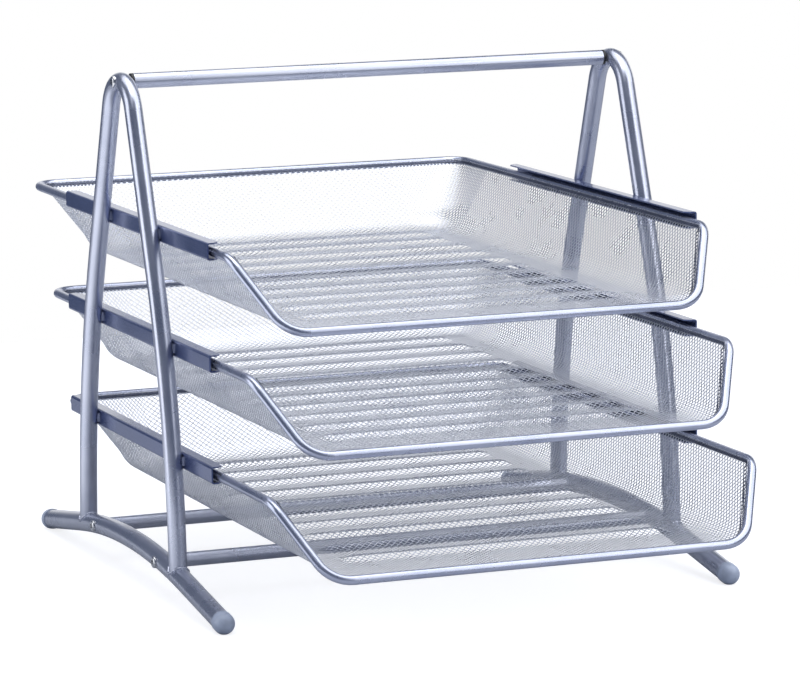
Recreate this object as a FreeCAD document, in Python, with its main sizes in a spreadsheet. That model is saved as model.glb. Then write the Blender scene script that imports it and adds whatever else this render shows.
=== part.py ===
"""Three-tier mesh letter tray stack with an A-frame stand.

Two bent-tube side frames stand on arched foot tubes and are tied together by a handle bar and two
cross bars.  Each side frame carries three C-channel rails, and a wire-rimmed mesh tray slides in
each pair of rails.  Units are millimetres and degrees; +Z is up and -Y is the front, where the
trays pull out.  The origin is on the floor, in the middle of the whole footprint.
"""
import FreeCAD, Part
import math
import os
import Sketcher
from FreeCAD import Placement, Rotation, Vector

DOCUMENT = FreeCAD.newDocument("LetterTrayStack")

# Driving dimensions: alias, value, meaning
SIZES = [
    ("side_spacing", 294.6, "between the centre planes of the two side frames"),
    ("stand_offset", 16.15, "stand's middle behind the middle of the whole footprint"),
    ("leg_diameter", 10.0, "outside diameter of the side frames' tube"),
    ("leg_wall", 1.0, "wall of the side frames' tube"),
    ("apex_height", 278.5, "height of the tube's centre line at the apex"),
    ("apex_bend_radius", 21.0, "centre line radius of the apex bend"),
    ("upper_lean", 19.7, "lean of a leg from the vertical, above its bow"),
    ("lower_lean", 3.5, "lean of a leg from the vertical, below its bow"),
    ("bow_height", 111.0, "height where the two straight parts of a leg would meet"),
    ("bow_radius", 480.0, "centre line radius of the bow in a leg"),
    ("foot_diameter", 11.0, "outside diameter of the foot tubes"),
    ("foot_wall", 1.0, "wall of the foot tubes"),
    ("foot_half_length", 151.0, "from the stand's middle to a foot tube's end"),
    ("foot_arch_radius", 600.0, "centre line radius of the foot tubes' arch"),
    ("foot_slope", 9.0, "slope of a foot tube at its ends"),
    ("cap_diameter", 11.8, "outside diameter of the foot caps"),
    ("cap_collar", 3.5, "straight length of a foot cap before its dome"),
    ("cap_spigot", 9.0, "length of a foot cap inside the tube"),
    ("cap_flat", 0.35, "depth of the flat that a foot cap rests on"),
    ("handle_diameter", 8.5, "outside diameter of the handle bar"),
    ("handle_wall", 0.8, "wall of the handle bar"),
    ("cross_bar_diameter", 8.0, "outside diameter of the cross bars"),
    ("cross_bar_wall", 0.8, "wall of the cross bars"),
    ("cross_bar_reach", 55.2, "from the stand's middle to a cross bar"),
    ("plug_flange", 1.5, "thickness of an end plug's flange"),
    ("plug_spigot", 9.0, "length of an end plug inside its bar"),
    ("screw_diameter", 3.0, "diameter of the screws"),
    ("screw_clearance", 0.15, "room round a screw in a tube's wall, on the radius"),
    ("screw_grip", 6.0, "length of a screw inside its plug, past the flange"),
    ("head_diameter", 6.6, "diameter of a screw's domed head"),
    ("head_height", 1.9, "height of a screw's domed head"),
    ("seat_depth", 0.8, "depth of the flattened seat under a screw's head"),
    ("seat_diameter", 9.0, "diameter of the flattened seat under a screw's head"),
    ("rail_length", 250.0, "length of a rail"),
    ("rail_offset", 0.5, "rail's middle behind the stand's middle"),
    ("rail_sheet", 0.8, "sheet thickness of a rail"),
    ("rail_flange", 6.8, "width of a rail's flanges, over the web"),
    ("rail_chamfer", 3.0, "corner cut off the ends of a rail's flanges"),
    ("rail_bend", 0.6, "inside radius of the bends of a rail"),
    ("rail_clearance", 0.6, "room below a tray's rim in its rail"),
    ("rail_headroom", 2.2, "room above a tray's rim in its rail"),
    ("rail_side_clearance", 1.6, "room beside a tray's rim in its rail"),
    ("weld_width", 5.6, "width of a weld between a leg and a rail"),
    ("weld_height", 5.0, "height of a weld between a leg and a rail"),
    ("top_tier_height", 198.3, "height of the top tray's rim"),
    ("tier_pitch", 60.0, "from one tray's rim to the next"),
    ("middle_pull", 31.4, "how far the middle tray stands forward of the top one"),
    ("bottom_pull", 59.3, "how far the bottom tray stands forward of the top one"),
    ("rim_diameter", 5.0, "wire diameter of a tray's rim"),
    ("tray_rear", 205.0, "from the stand's middle back to the rear of a rim"),
    ("tray_shoulder", 145.0, "from the stand's middle forward to where a rim turns down"),
    ("tray_front", 178.0, "from the stand's middle forward to the front of a rim"),
    ("front_drop", 37.0, "how far a rim's front lies below its sides"),
    ("side_flare", 20.2, "how far a tray's side leans out, on each side"),
    ("rear_flare", 28.0, "how far a tray's rear wall leans out"),
    ("rim_rear_radius", 13.0, "centre line radius of a rim's rear corners"),
    ("rim_shoulder_radius", 16.0, "centre line radius where a rim turns down"),
    ("rim_front_radius", 18.0, "centre line radius of a rim's front corners"),
    ("basket_sheet", 1.0, "thickness of the expanded mesh"),
    ("basket_lip", 1.0, "height of the mesh above the rim's centre line, inside the rim"),
    ("basket_bite", 0.8, "how far the mesh reaches under the rim's surface before it is trimmed"),
    ("floor_corner_radius", 30.0, "plan radius of the tray floor's corners"),
    ("floor_edge_radius", 17.0, "radius between a tray's floor and its walls"),
    ("rib_count", 10, "number of ribs pressed into a tray's floor"),
    ("rib_pitch", 31.0, "from one rib to the next"),
    ("rib_width", 14.0, "width of a rib at the floor"),
    ("rib_height", 3.0, "height of a rib above the floor"),
    ("rib_margin", 22.0, "from a rib's end to the side edge of the floor"),
    ("first_rib", 149.0, "from the stand's middle back to the rearmost rib"),
    ("gap_length", 22.0, "length of a gap in the mesh"),
    ("gap_tip", 4.0, "length over which a gap in the mesh narrows at either end"),
    ("gap_pitch", 26.0, "from one gap to the next in a row"),
    ("floor_gap_width", 13.0, "width of a gap in the mesh between two ribs"),
    ("crest_gap_width", 7.0, "width of a gap in the mesh on the back of a rib"),
    ("floor_gap_count", 7, "number of gaps in each row across the floor"),
    ("wall_gap_height", 19.0, "height of a gap in the mesh of the walls"),
    ("wall_gap_depth", 15.5, "middle of the gaps in the walls below a rim's centre line"),
    ("side_gap_count", 11, "number of gaps along a side wall"),
    ("first_side_gap", 134.0, "from the stand's middle back to the rearmost gap of a side wall"),
]

FRONT_ALLOWANCE = 20.0
"""Length of tub that is formed past the front rim and trimmed off along the slope."""

FLATNESS = 1e-4
"""How far an edge may stray from a height and still lie flat at it."""

WELD_ROOT = 0.02
"""Gap between a weld and its leg, which parts the two beads where the leg touches the rail."""


def make_sheet():
    """Return the sheet that holds the driving dimensions."""
    sheet = DOCUMENT.addObject("Spreadsheet::Sheet", "Sizes")
    for row, (alias, value, meaning) in enumerate(SIZES, start=1):
        sheet.set(f"A{row}", meaning)
        sheet.set(f"B{row}", str(value))
        sheet.setAlias(f"B{row}", alias)
    DOCUMENT.recompute()
    return sheet


SHEET = make_sheet()


def value_of(expression):
    """Return the number that an expression on the sheet's aliases gives."""
    result = SHEET.evalExpression(expression)
    return float(getattr(result, "Value", result))


def bind(item, expressions):
    """Bind each property of an object to its expression."""
    for prop, expression in expressions.items():
        item.setExpression(prop, expression)


# Derived expressions that several pieces share
LEG_RADIUS = "Sizes.leg_diameter / 2"
FOOT_RADIUS = "Sizes.foot_diameter / 2"
RIM_RADIUS = "Sizes.rim_diameter / 2"
HALF_SPACING = "Sizes.side_spacing / 2"
FOOT_END_HEIGHT = (
    "(Sizes.cap_diameter / 2 - Sizes.cap_flat + Sizes.cap_collar * sin(Sizes.foot_slope * 1deg))"
)
FOOT_CROWN = (
    f"({FOOT_END_HEIGHT} + Sizes.foot_half_length * tan(Sizes.foot_slope * 1deg)"
    " - Sizes.foot_arch_radius * (1 / cos(Sizes.foot_slope * 1deg) - 1))"
)
CROSS_BAR_HEIGHT = (
    f"({FOOT_CROWN} - Sizes.foot_arch_radius"
    " + sqrt(Sizes.foot_arch_radius ^ 2 - Sizes.cross_bar_reach ^ 2))"
)
KNEE_REACH = (
    "((Sizes.apex_height + Sizes.apex_bend_radius * (1 / sin(Sizes.upper_lean * 1deg) - 1)"
    " - Sizes.bow_height) * tan(Sizes.upper_lean * 1deg))"
)
LEG_REACH = f"({KNEE_REACH} + (Sizes.bow_height - {FOOT_CROWN}) * tan(Sizes.lower_lean * 1deg))"
LEG_END_HEIGHT = (
    f"({FOOT_CROWN} - Sizes.foot_arch_radius + sqrt(Sizes.foot_arch_radius ^ 2 - {LEG_REACH} ^ 2))"
)
RAIL_HEIGHT = (
    "(Sizes.rim_diameter + Sizes.rail_clearance + Sizes.rail_headroom + 2 * Sizes.rail_sheet)"
)
RAIL_LIFT = "((Sizes.rail_headroom - Sizes.rail_clearance) / 2)"
RAIL_SEAT = "(Sizes.side_spacing / 2 - Sizes.leg_diameter / 2)"
RIM_REACH = f"({RAIL_SEAT} - Sizes.rail_sheet - Sizes.rail_side_clearance - Sizes.rim_diameter / 2)"
TIERS = {
    "top": ("Sizes.top_tier_height", "0"),
    "middle": ("(Sizes.top_tier_height - Sizes.tier_pitch)", "Sizes.middle_pull"),
    "bottom": ("(Sizes.top_tier_height - 2 * Sizes.tier_pitch)", "Sizes.bottom_pull"),
}
SIDES = {"left": -1, "right": 1}


def plane(body, role):
    """Return the origin plane or axis of a body that has the given role."""
    return next(item for item in body.Origin.OriginFeatures if item.Role == role)


def new_body(label):
    """Return a new body whose name and label are the sub-part's name."""
    body = DOCUMENT.addObject("PartDesign::Body", label)
    body.Label = label
    return body


def new_sketch(body, role, name, height=None):
    """Return a sketch on one of the body's origin planes, lifted along its normal by height."""
    sketch = body.newObject("Sketcher::SketchObject", name)
    sketch.AttachmentSupport = [(plane(body, role), "")]
    sketch.MapMode = "FlatFace"
    if height is not None:
        sketch.setExpression("AttachmentOffset.Base.z", height)
    return sketch


def dimension(sketch, kind, references, expression):
    """Add a dimension to a sketch and bind it to an expression."""
    number = value_of(expression)
    if kind == "Angle":
        number = math.radians(number)
    index = sketch.addConstraint(Sketcher.Constraint(kind, *references, number))
    name = f"{kind.lower()}_{index}"
    sketch.renameConstraint(index, name)
    sketch.setExpression(f"Constraints.{name}", expression)


def tie(sketch, kind, *references):
    """Add a geometric constraint to a sketch."""
    sketch.addConstraint(Sketcher.Constraint(kind, *references))


def circle_sketch(body, role, name, radii, across="0", up="0", height=None):
    """Return a sketch of concentric circles whose centre lies at across and up."""
    sketch = new_sketch(body, role, name, height)
    centre = Vector(value_of(across), value_of(up), 0)
    for radius in radii:
        index = sketch.addGeometry(Part.Circle(centre, Vector(0, 0, 1), value_of(radius)))
        dimension(sketch, "Radius", (index,), radius)
        place_point(sketch, index, 3, across, up)
    return sketch


def place_point(sketch, index, end, across, up):
    """Fix one point of a sketch at across and up from the sketch's origin."""
    for kind, axis, expression in (("DistanceX", -2, across), ("DistanceY", -1, up)):
        if abs(value_of(expression)) < 1e-9:
            tie(sketch, "PointOnObject", index, end, axis)
        else:
            dimension(sketch, kind, (-1, 1, index, end), expression)


def polygon_sketch(body, role, name, corners, height=None):
    """Return a sketch of a closed polygon with its corners at the given pairs of expressions."""
    sketch = new_sketch(body, role, name, height)
    points = [Vector(value_of(across), value_of(up), 0) for across, up in corners]
    for start, end in zip(points, points[1:] + points[:1]):
        sketch.addGeometry(Part.LineSegment(start, end))
    count = len(points)
    for index in range(count):
        tie(sketch, "Coincident", index, 2, (index + 1) % count, 1)
    for index, (across, up) in enumerate(corners):
        place_point(sketch, index, 1, across, up)
    return sketch


def pad(body, sketch, name, length, midplane=False, reverse=False):
    """Return a pad of a sketch."""
    feature = body.newObject("PartDesign::Pad", name)
    feature.Profile = sketch
    feature.setExpression("Length", length)
    feature.Midplane = midplane
    feature.Reversed = reverse
    return feature


def pocket(body, sketch, name, length=None, midplane=False, reverse=False):
    """Return a pocket of a sketch, through all where no length is given."""
    feature = body.newObject("PartDesign::Pocket", name)
    feature.Profile = sketch
    if length is None:
        feature.Type = "ThroughAll"
    else:
        feature.setExpression("Length", length)
    feature.Midplane = midplane
    feature.Reversed = reverse
    return feature


def mirror(body, features, name, role):
    """Return a mirrored copy of features about one of the body's origin planes."""
    feature = body.newObject("PartDesign::Mirrored", name)
    feature.Originals = features
    feature.MirrorPlane = (plane(body, role), [""])
    body.Tip = feature
    return feature


def row(body, features, name, axis, length, count, reverse=False):
    """Return a row of copies of features along one of the body's axes."""
    feature = body.newObject("PartDesign::LinearPattern", name)
    feature.Originals = features
    feature.Direction = (plane(body, axis), [""])
    feature.Reversed = reverse
    feature.setExpression("Length", length)
    feature.setExpression("Occurrences", count)
    body.Tip = feature
    return feature


def edges_at_height(item, height):
    """Return the numbers of an object's edges that lie flat at a height."""
    numbers = []
    for number, edge in enumerate(item.Shape.Edges, start=1):
        box = edge.BoundBox
        if max(abs(box.ZMin - height), abs(box.ZMax - height)) < FLATNESS:
            numbers.append(number)
    return numbers


def round_edges(body, feature, name, radius, places):
    """Round the edges of a feature that run along Y at the given pairs of X and Z expressions."""
    points = [(value_of(across), value_of(up)) for across, up in places]
    names = []
    for number, edge in enumerate(feature.Shape.Edges, start=1):
        box = edge.BoundBox
        if any(max(abs(box.XMin - x), abs(box.XMax - x), abs(box.ZMin - z), abs(box.ZMax - z))
               < FLATNESS for x, z in points):
            names.append(f"Edge{number}")
    fillet = body.newObject("PartDesign::Fillet", name)
    fillet.Base = (feature, names)
    fillet.setExpression("Radius", radius)
    body.Tip = fillet
    DOCUMENT.recompute()


def place_side(item, side, height="0", across=HALF_SPACING, back="0"):
    """Place an item on one side of the stand, turned so that its local +X points outwards."""
    sign = SIDES[side]
    item.Placement = Placement(Vector(), Rotation(Vector(0, 0, 1), 90 * (1 - sign)))
    bind(item, {
        "Placement.Base.x": f"{sign} * ({across})",
        "Placement.Base.y": f"Sizes.stand_offset + {back}",
        "Placement.Base.z": height,
    })


def leg_path(body):
    """Return the sketch of half a side frame's centre line, from the apex down to the foot."""
    sketch = new_sketch(body, "YZ_Plane", "leg_path")
    radius = value_of("Sizes.apex_bend_radius")
    bow = value_of("Sizes.bow_radius")
    upper = math.radians(value_of("Sizes.upper_lean"))
    lower = math.radians(value_of("Sizes.lower_lean"))
    centre = Vector(0, value_of("Sizes.apex_height") - radius, 0)
    tangent = centre + Vector(radius * math.cos(upper), radius * math.sin(upper), 0)
    knee = Vector(value_of(KNEE_REACH), value_of("Sizes.bow_height"), 0)
    setback = bow * math.tan((upper - lower) / 2)
    down_upper = Vector(math.sin(upper), -math.cos(upper), 0)
    down_lower = Vector(math.sin(lower), -math.cos(lower), 0)
    bow_start = knee - down_upper * setback
    bow_end = knee + down_lower * setback
    bow_centre = bow_start - Vector(math.cos(upper), math.sin(upper), 0) * bow
    foot = knee + down_lower * ((knee.y - value_of(LEG_END_HEIGHT)) / math.cos(lower))
    arc = sketch.addGeometry(Part.ArcOfCircle(
        Part.Circle(centre, Vector(0, 0, 1), radius), upper, math.pi / 2))
    line = sketch.addGeometry(Part.LineSegment(tangent, bow_start))
    bend = sketch.addGeometry(Part.ArcOfCircle(
        Part.Circle(bow_centre, Vector(0, 0, 1), bow), lower, upper))
    shin = sketch.addGeometry(Part.LineSegment(bow_end, foot))
    corner = sketch.addGeometry(Part.Point(knee), True)
    tie(sketch, "PointOnObject", arc, 3, -2)
    tie(sketch, "PointOnObject", arc, 2, -2)
    tie(sketch, "Tangent", arc, 1, line, 1)
    tie(sketch, "Tangent", line, 2, bend, 2)
    tie(sketch, "Tangent", bend, 1, shin, 1)
    tie(sketch, "PointOnObject", corner, 1, line)
    tie(sketch, "PointOnObject", corner, 1, shin)
    dimension(sketch, "Radius", (arc,), "Sizes.apex_bend_radius")
    dimension(sketch, "Radius", (bend,), "Sizes.bow_radius")
    dimension(sketch, "DistanceY", (-1, 1, arc, 2), "Sizes.apex_height")
    dimension(sketch, "DistanceY", (-1, 1, corner, 1), "Sizes.bow_height")
    dimension(sketch, "DistanceY", (-1, 1, shin, 2), LEG_END_HEIGHT)
    dimension(sketch, "Angle", (line,), "(Sizes.upper_lean - 90) * 1deg")
    dimension(sketch, "Angle", (shin,), "(Sizes.lower_lean - 90) * 1deg")
    return sketch


def foot_path(body):
    """Return the sketch of half a foot tube's centre line, from the arch's crown to its end."""
    sketch = new_sketch(body, "YZ_Plane", "foot_path")
    radius = value_of("Sizes.foot_arch_radius")
    slope = math.radians(value_of("Sizes.foot_slope"))
    centre = Vector(0, value_of(FOOT_CROWN) - radius, 0)
    tangent = centre + Vector(radius * math.sin(slope), radius * math.cos(slope), 0)
    end = Vector(value_of("Sizes.foot_half_length"), value_of(FOOT_END_HEIGHT), 0)
    arc = sketch.addGeometry(Part.ArcOfCircle(
        Part.Circle(centre, Vector(0, 0, 1), radius), math.pi / 2 - slope, math.pi / 2))
    line = sketch.addGeometry(Part.LineSegment(tangent, end))
    tie(sketch, "PointOnObject", arc, 3, -2)
    tie(sketch, "PointOnObject", arc, 2, -2)
    tie(sketch, "Tangent", arc, 1, line, 1)
    dimension(sketch, "Radius", (arc,), "Sizes.foot_arch_radius")
    dimension(sketch, "Angle", (line,), "-Sizes.foot_slope * 1deg")
    place_point(sketch, line, 2, "Sizes.foot_half_length", FOOT_END_HEIGHT)
    return sketch


def bent_tube(body, path, outer, inner, crown):
    """Sweep a tube's ring along half of its centre line and mirror it to the front."""
    ring = circle_sketch(body, "XZ_Plane", "ring", (outer, inner), up=crown)
    pipe = body.newObject("PartDesign::AdditivePipe", "bent_tube")
    pipe.Profile = ring
    pipe.Spine = path
    mirror(body, [pipe], "front_half", "XZ_Plane")


def screw_seats(body, outer, across, up, mirrored):
    """Flatten a seat on a tube's outer side and drill the screw's hole through the tube."""
    floor = circle_sketch(body, "YZ_Plane", "seat", ("Sizes.seat_diameter / 2",), across, up,
                          f"{outer} - Sizes.seat_depth")
    seat = pocket(body, floor, "screw_seat", reverse=True)
    bore = circle_sketch(body, "YZ_Plane", "bore", ("Sizes.screw_diameter / 2 + Sizes.screw_clearance",),
                         across, up)
    hole = pocket(body, bore, "screw_hole", midplane=True)
    if mirrored:
        mirror(body, [seat, hole], "front_seat", "XZ_Plane")


def make_side_frame(side):
    """Make one side frame: a bowed inverted V of tube whose ends are coped to the foot tube."""
    body = new_body(f"{side}_side_frame")
    bent_tube(body, leg_path(body), LEG_RADIUS, f"{LEG_RADIUS} - Sizes.leg_wall", "Sizes.apex_height")
    cope = circle_sketch(body, "XZ_Plane", "cope", (FOOT_RADIUS,), up=FOOT_CROWN)
    axis = cope.addGeometry(Part.LineSegment(
        Vector(-1, value_of(FOOT_CROWN) - value_of("Sizes.foot_arch_radius"), 0),
        Vector(1, value_of(FOOT_CROWN) - value_of("Sizes.foot_arch_radius"), 0)), True)
    tie(cope, "Symmetric", axis, 1, axis, 2, -2)
    dimension(cope, "DistanceY", (axis, 1, 0, 3), "Sizes.foot_arch_radius")
    dimension(cope, "DistanceX", (axis, 1, axis, 2), "Sizes.leg_diameter")
    groove = body.newObject("PartDesign::Groove", "foot_cope")
    groove.Profile = cope
    groove.ReferenceAxis = (cope, ["Axis0"])
    groove.Angle = 30
    groove.Midplane = True
    screw_seats(body, LEG_RADIUS, "0", "Sizes.apex_height", False)
    place_side(body, side)
    return body


def make_foot_tube(side):
    """Make one arched foot tube with the seats and holes of the cross bars' screws."""
    body = new_body(f"{side}_foot_tube")
    bent_tube(body, foot_path(body), FOOT_RADIUS, f"{FOOT_RADIUS} - Sizes.foot_wall", FOOT_CROWN)
    screw_seats(body, FOOT_RADIUS, "Sizes.cross_bar_reach", CROSS_BAR_HEIGHT, True)
    place_side(body, side)
    return body


def make_foot_cap(end, side):
    """Make one domed foot cap, pushed into a foot tube's end and cut flat where it stands."""
    name = f"{end}_{side}_foot_cap"
    body = new_body(f"{name}_blank")
    radius = "Sizes.cap_diameter / 2"
    spigot = f"{FOOT_RADIUS} - Sizes.foot_wall"
    sketch = new_sketch(body, "XZ_Plane", "profile")
    collar = value_of("Sizes.cap_collar")
    length = value_of("Sizes.cap_spigot")
    outside, inside = value_of(radius), value_of(spigot)
    points = [Vector(0, -length, 0), Vector(inside, -length, 0), Vector(inside, 0, 0),
              Vector(outside, 0, 0), Vector(outside, collar, 0)]
    for start, stop in zip(points, points[1:]):
        sketch.addGeometry(Part.LineSegment(start, stop))
    dome = sketch.addGeometry(Part.ArcOfCircle(
        Part.Circle(Vector(0, collar, 0), Vector(0, 0, 1), outside), 0, math.pi / 2))
    back = sketch.addGeometry(Part.LineSegment(Vector(0, collar + outside, 0), points[0]))
    for index in range(3):
        tie(sketch, "Coincident", index, 2, index + 1, 1)
    tie(sketch, "Coincident", 3, 2, dome, 1)
    tie(sketch, "Coincident", dome, 2, back, 1)
    tie(sketch, "Coincident", back, 2, 0, 1)
    for index in (0, 2):
        tie(sketch, "Horizontal", index)
    for index in (1, 3):
        tie(sketch, "Vertical", index)
    tie(sketch, "PointOnObject", back, 1, -2)
    tie(sketch, "PointOnObject", back, 2, -2)
    tie(sketch, "PointOnObject", dome, 3, -2)
    tie(sketch, "PointOnObject", 1, 2, -1)
    tie(sketch, "Horizontal", dome, 3, dome, 1)
    dimension(sketch, "DistanceX", (-1, 1, 1, 2), spigot)
    dimension(sketch, "DistanceX", (-1, 1, 3, 1), radius)
    dimension(sketch, "DistanceY", (3, 1, 3, 2), "Sizes.cap_collar")
    dimension(sketch, "DistanceY", (1, 1, 1, 2), "Sizes.cap_spigot")
    turn = body.newObject("PartDesign::Revolution", "dome")
    turn.Profile = sketch
    turn.ReferenceAxis = (sketch, ["V_Axis"])
    turn.Angle = 360
    sign = -1 if end == "front" else 1
    body.Placement = Placement(Vector(), Rotation(Vector(-sign, 0, 0), 90))
    bind(body, {
        "Placement.Rotation.Angle": "(90 + Sizes.foot_slope) * 1deg",
        "Placement.Base.x": f"{SIDES[side]} * {HALF_SPACING}",
        "Placement.Base.y": f"Sizes.stand_offset + {sign} * Sizes.foot_half_length",
        "Placement.Base.z": FOOT_END_HEIGHT,
    })
    floor = DOCUMENT.addObject("Part::Box", f"{name}_floor")
    bind(floor, {
        "Length": "Sizes.cap_diameter * 2",
        "Width": "Sizes.cap_diameter * 4",
        "Height": "Sizes.cap_diameter",
        "Placement.Base.x": f"{SIDES[side]} * {HALF_SPACING} - Sizes.cap_diameter",
        "Placement.Base.y": f"Sizes.stand_offset + {sign} * Sizes.foot_half_length - Sizes.cap_diameter * 2",
        "Placement.Base.z": "-Sizes.cap_diameter",
    })
    cap = DOCUMENT.addObject("Part::Cut", name)
    cap.Base = body
    cap.Tool = floor
    cap.Label = name
    return cap


def make_bar(name, diameter, wall, joint_radius, back, height):
    """Make one straight bar of tube along X, held between the plugs at its ends."""
    body = new_body(name)
    ring = circle_sketch(body, "YZ_Plane", "ring", (f"{diameter} / 2", f"{diameter} / 2 - {wall}"))
    pad(body, ring, "bar", f"Sizes.side_spacing - 2 * ({joint_radius}) - 2 * Sizes.plug_flange",
        midplane=True)
    bind(body, {
        "Placement.Base.y": f"Sizes.stand_offset + {back}",
        "Placement.Base.z": height,
    })
    return body


def make_plug(name, side, diameter, wall, joint_radius, back, height):
    """Make one end plug: a flange against the frame and a spigot inside the bar."""
    body = new_body(name)
    spigot = circle_sketch(body, "YZ_Plane", "spigot", (f"{diameter} / 2 - {wall}",))
    pad(body, spigot, "spigot_pad", "Sizes.plug_flange + Sizes.plug_spigot", reverse=True)
    flange = circle_sketch(body, "YZ_Plane", "flange", (f"{diameter} / 2",))
    pad(body, flange, "flange_pad", "Sizes.plug_flange", reverse=True)
    bore = circle_sketch(body, "YZ_Plane", "bore", ("Sizes.screw_diameter / 2",))
    pocket(body, bore, "screw_bore", "Sizes.plug_flange + Sizes.screw_grip")
    place_side(body, side, height, f"{HALF_SPACING} - {joint_radius}", back)
    return body


def screw_solid(length):
    """Return a domed screw along X, with the underside of its head at the origin."""
    shank = value_of("Sizes.screw_diameter") / 2
    head = value_of("Sizes.head_diameter") / 2
    height = value_of("Sizes.head_height")
    rise = (head ** 2 + height ** 2) / (2 * height)
    half = math.asin(head / rise) / 2
    top = Vector(height, 0, 0)
    middle = Vector(height - rise + rise * math.cos(half), rise * math.sin(half), 0)
    rim = Vector(0, head, 0)
    edges = [
        Part.LineSegment(Vector(-length, 0, 0), Vector(-length, shank, 0)).toShape(),
        Part.LineSegment(Vector(-length, shank, 0), Vector(0, shank, 0)).toShape(),
        Part.LineSegment(Vector(0, shank, 0), rim).toShape(),
        Part.Arc(rim, middle, top).toShape(),
        Part.LineSegment(top, Vector(-length, 0, 0)).toShape(),
    ]
    return Part.Face(Part.Wire(edges)).revolve(Vector(), Vector(1, 0, 0), 360)


def make_screws(name, joint_radius, diameter, places):
    """Make one group of equal screws, each at a side, a distance back and a height."""
    length = value_of(f"{diameter} - Sizes.seat_depth + Sizes.plug_flange + Sizes.screw_grip")
    seat = value_of(f"{HALF_SPACING} + {joint_radius} - Sizes.seat_depth")
    screws = []
    for sign, back, height in places:
        turn = Rotation(Vector(0, 0, 1), 90 * (1 - sign))
        screw = screw_solid(length)
        screw.Placement = Placement(Vector(sign * seat, back, height), turn)
        screws.append(screw)
    group = DOCUMENT.addObject("Part::Feature", name)
    group.Label = name
    group.Shape = Part.Compound(screws)
    bind(group, {"Placement.Base.y": "Sizes.stand_offset"})
    return group


def make_rail(side, tier):
    """Make one rail: a C-channel that opens inwards, with its flanges' corners cut back."""
    body = new_body(f"{side}_{tier}_rail")
    inner = "-Sizes.rail_sheet"
    lip = "-Sizes.rail_flange"
    half = f"{RAIL_HEIGHT} / 2"
    inside = f"{RAIL_HEIGHT} / 2 - Sizes.rail_sheet"
    outline = [("0", f"-{half}"), ("0", half), (lip, half), (lip, inside), (inner, inside),
               (inner, f"-({inside})"), (lip, f"-({inside})"), (lip, f"-{half}")]
    profile = polygon_sketch(body, "XZ_Plane", "channel", outline)
    channel = pad(body, profile, "channel_pad", "Sizes.rail_length", midplane=True)
    DOCUMENT.recompute()
    round_edges(body, channel, "inner_bends", "Sizes.rail_bend",
                [(inner, inside), (inner, f"-({inside})")])
    round_edges(body, body.Tip, "outer_bends", "Sizes.rail_bend + Sizes.rail_sheet",
                [("0", half), ("0", f"-{half}")])
    corner = polygon_sketch(body, "XY_Plane", "corner", [
        (lip, "Sizes.rail_length / 2"),
        (lip, "Sizes.rail_length / 2 - Sizes.rail_chamfer"),
        (f"{lip} + Sizes.rail_chamfer", "Sizes.rail_length / 2"),
    ])
    cut = pocket(body, corner, "corner_cut", midplane=True)
    mirror(body, [cut], "front_corner", "XZ_Plane")
    place_side(body, side, f"{TIERS[tier][0]} + {RAIL_LIFT}", RAIL_SEAT, "Sizes.rail_offset")
    return body


def make_rail_welds(side, frame):
    """Make one side's welds: wedges in the notches between a side frame's legs and its rails."""
    sign = SIDES[side]
    seat = value_of(f"{sign} * {RAIL_SEAT}")
    radius = value_of(LEG_RADIUS)
    width = value_of("Sizes.weld_width")
    height = value_of("Sizes.weld_height")
    depth = radius - math.sqrt(radius ** 2 - width ** 2 / 4)
    reach = value_of("Sizes.foot_half_length")
    legs = frame.Shape.translated(Vector(-sign * WELD_ROOT, 0, 0))
    wedges = []
    for level in (value_of(f"{tier[0]} + {RAIL_LIFT}") for tier in TIERS.values()):
        slice_box = Part.makeBox(2 * radius, 4 * reach, height, Vector(
            seat if sign > 0 else seat - 2 * radius, -2 * reach, level - height / 2))
        for leg in frame.Shape.common(slice_box).Solids:
            middle = leg.BoundBox.Center.y
            block = Part.makeBox(depth, width, height, Vector(
                min(seat, seat + sign * depth), middle - width / 2, level - height / 2))
            wedges.extend(block.cut(legs).Solids)
    group = DOCUMENT.addObject("Part::Feature", f"{side}_rail_welds")
    group.Label = f"{side}_rail_welds"
    group.Shape = Part.Compound(wedges)
    return group


def rounded_path(corners, radii):
    """Return the edges of a closed path whose corners are rounded, and its first start."""
    arcs = []
    count = len(corners)
    for index, (corner, radius) in enumerate(zip(corners, radii)):
        before = (corners[index - 1] - corner).normalize()
        after = (corners[(index + 1) % count] - corner).normalize()
        half = before.getAngle(after) / 2
        setback = radius / math.tan(half)
        centre_line = (before + after).normalize()
        centre = corner + centre_line * (radius / math.sin(half))
        arcs.append((corner + before * setback, centre - centre_line * radius,
                     corner + after * setback))
    edges = []
    for index, (start, middle, end) in enumerate(arcs):
        edges.append(Part.Arc(start, middle, end).toShape())
        edges.append(Part.LineSegment(end, arcs[(index + 1) % count][0]).toShape())
    return edges


def rim_solid():
    """Return a tray's rim in the tray's own frame: one closed loop of round wire."""
    reach = value_of(RIM_REACH)
    front_reach = reach - value_of("Sizes.side_flare")
    rear = value_of("Sizes.tray_rear")
    shoulder = -value_of("Sizes.tray_shoulder")
    front = -value_of("Sizes.tray_front")
    drop = -value_of("Sizes.front_drop")
    corners = [
        Vector(-reach, rear, 0), Vector(reach, rear, 0), Vector(reach, shoulder, 0),
        Vector(front_reach, front, drop), Vector(-front_reach, front, drop),
        Vector(-reach, shoulder, 0),
    ]
    rear_radius = value_of("Sizes.rim_rear_radius")
    shoulder_radius = value_of("Sizes.rim_shoulder_radius")
    front_radius = value_of("Sizes.rim_front_radius")
    radii = [rear_radius, rear_radius, shoulder_radius, front_radius, front_radius, shoulder_radius]
    edges = rounded_path(corners, radii)
    start = edges[0].valueAt(edges[0].FirstParameter)
    heading = edges[0].tangentAt(edges[0].FirstParameter)
    circle = Part.Wire(Part.Circle(start, heading, value_of(RIM_RADIUS)).toShape())
    return Part.Wire(edges).makePipeShell([circle], True, False)


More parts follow.
